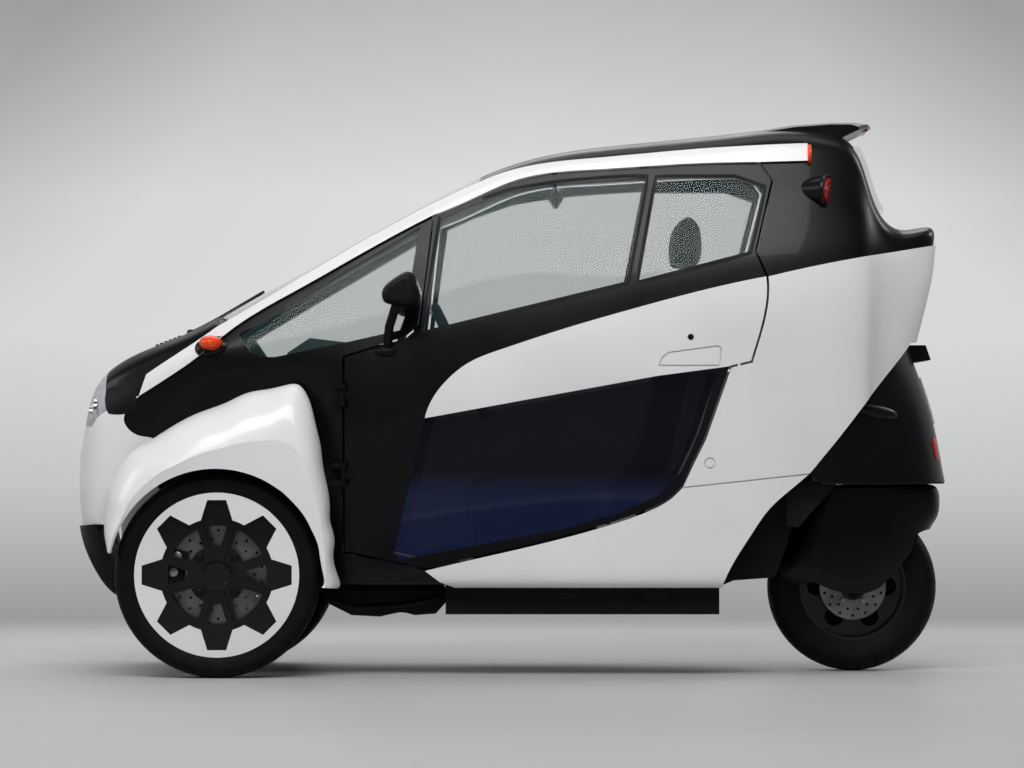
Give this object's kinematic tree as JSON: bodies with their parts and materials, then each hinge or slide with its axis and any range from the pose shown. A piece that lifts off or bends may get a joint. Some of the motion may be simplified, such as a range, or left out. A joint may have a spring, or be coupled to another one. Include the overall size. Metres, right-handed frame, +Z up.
{
  "type": "three wheeled car",
  "caption": "Narrow enclosed electric three wheeler: wheels under fenders in front, a steered wheel in a cowl behind, hinged doors with low smoked glass and seats in line.",
  "frame": {"origin": "on the ground, halfway along the car, in its centre plane", "axes": "+X forward, +Y to the car's left, +Z up"},
  "size_m": [2.3496, 0.9842, 1.493],
  "materials": {
    "black_trim": "matt black",
    "dash": "grained",
    "black_shell": "satin black",
    "glass": "clear",
    "smoked_glass": "dark blue",
    "white_paint": "gloss white",
    "chassis": "matt black",
    "disc": "brushed",
    "seat": "woven",
    "tyre": "matt",
    "wheel_black": "satin black",
    "lamp_clear": "clear",
    "lamp_orange": "clear orange",
    "lamp_red": "clear red"
  },
  "bodies": {
    "body": {"cabin_mirror": "black_trim", "dashboard": "dash", "floor_pan": "chassis", "front_fenders": "white_paint", "front_seat": "seat", "front_side_panels": "black_shell", "front_subframe": "chassis", "front_suspension": "chassis", "headlamps": "lamp_clear", "hood": "black_shell", "indicator_lamps": "lamp_orange", "lower_grille": "black_trim", "nose_panel": "white_paint", "quarter_windows": "glass", "rear_lower_cover": "black_shell", "rear_seat": "seat", "rear_side_panels": "white_paint", "rear_upper_shell": "black_shell", "rear_window": "glass", "roof_panel": "black_shell", "roof_rails": "white_paint", "roof_spoiler": "black_shell", "sill_panels": "white_paint", "tail_lamps": "lamp_red", "wheel_house": "black_trim", "windscreen": "glass", "wiper": "black_trim"},
    "left_door": {"door_left_frame": "black_shell", "door_left_glass": "glass", "door_left_lower_glass": "smoked_glass", "door_left_mirror": "black_trim", "door_left_panel": "white_paint"},
    "right_door": {"door_right_frame": "black_shell", "door_right_glass": "glass", "door_right_lower_glass": "smoked_glass", "door_right_mirror": "black_trim", "door_right_panel": "white_paint"},
    "front_left_wheel": {"front_disc_left": "disc", "front_ring_left": "white_paint", "front_tyre_left": "tyre", "front_wheel_left": "wheel_black"},
    "front_right_wheel": {"front_disc_right": "disc", "front_ring_right": "white_paint", "front_tyre_right": "tyre", "front_wheel_right": "wheel_black"},
    "rear_steering": {"rear_cowl": "black_shell", "rear_fork": "chassis"},
    "rear_road_wheel": {"rear_disc": "disc", "rear_tyre": "tyre", "rear_wheel": "wheel_black"},
    "steering_wheel": {"steering_wheel": "dash"}
  },
  "joints": [
    {"name": "front_left_wheel_spin", "type": "hinge", "parent": "body", "child": "front_left_wheel", "pos_m": [0.776, 0.35, 0.272], "axis": [0, 1, 0], "continuous": true},
    {"name": "front_right_wheel_spin", "type": "hinge", "parent": "body", "child": "front_right_wheel", "pos_m": [0.776, -0.35, 0.272], "axis": [0, 1, 0], "continuous": true},
    {"name": "rear_steer", "type": "hinge", "parent": "body", "child": "rear_steering", "pos_m": [-0.924, 0, 0.56], "axis": [0, 0, 1], "range_deg": [-24, 24]},
    {"name": "rear_wheel_spin", "type": "hinge", "parent": "rear_steering", "child": "rear_road_wheel", "pos_m": [-0.924, 0, 0.23], "axis": [0, 1, 0], "continuous": true},
    {"name": "left_door_hinge", "type": "hinge", "parent": "body", "child": "left_door", "pos_m": [0.44507, 0.3524, 0.64], "axis": [0, 0, -1], "range_deg": [0, 62]},
    {"name": "right_door_hinge", "type": "hinge", "parent": "body", "child": "right_door", "pos_m": [0.44507, -0.3524, 0.64], "axis": [0, 0, 1], "range_deg": [0, 62]},
    {"name": "steering_wheel_turn", "type": "hinge", "parent": "body", "child": "steering_wheel", "pos_m": [0.20497, 0, 0.81204], "axis": [-0.9067, 0, 0.4217], "range_deg": [-300, 300]}
  ],
  "couplings": [
    {"joint": "steering_wheel_turn", "follows": "rear_steer", "ratio": -12}
  ]
}
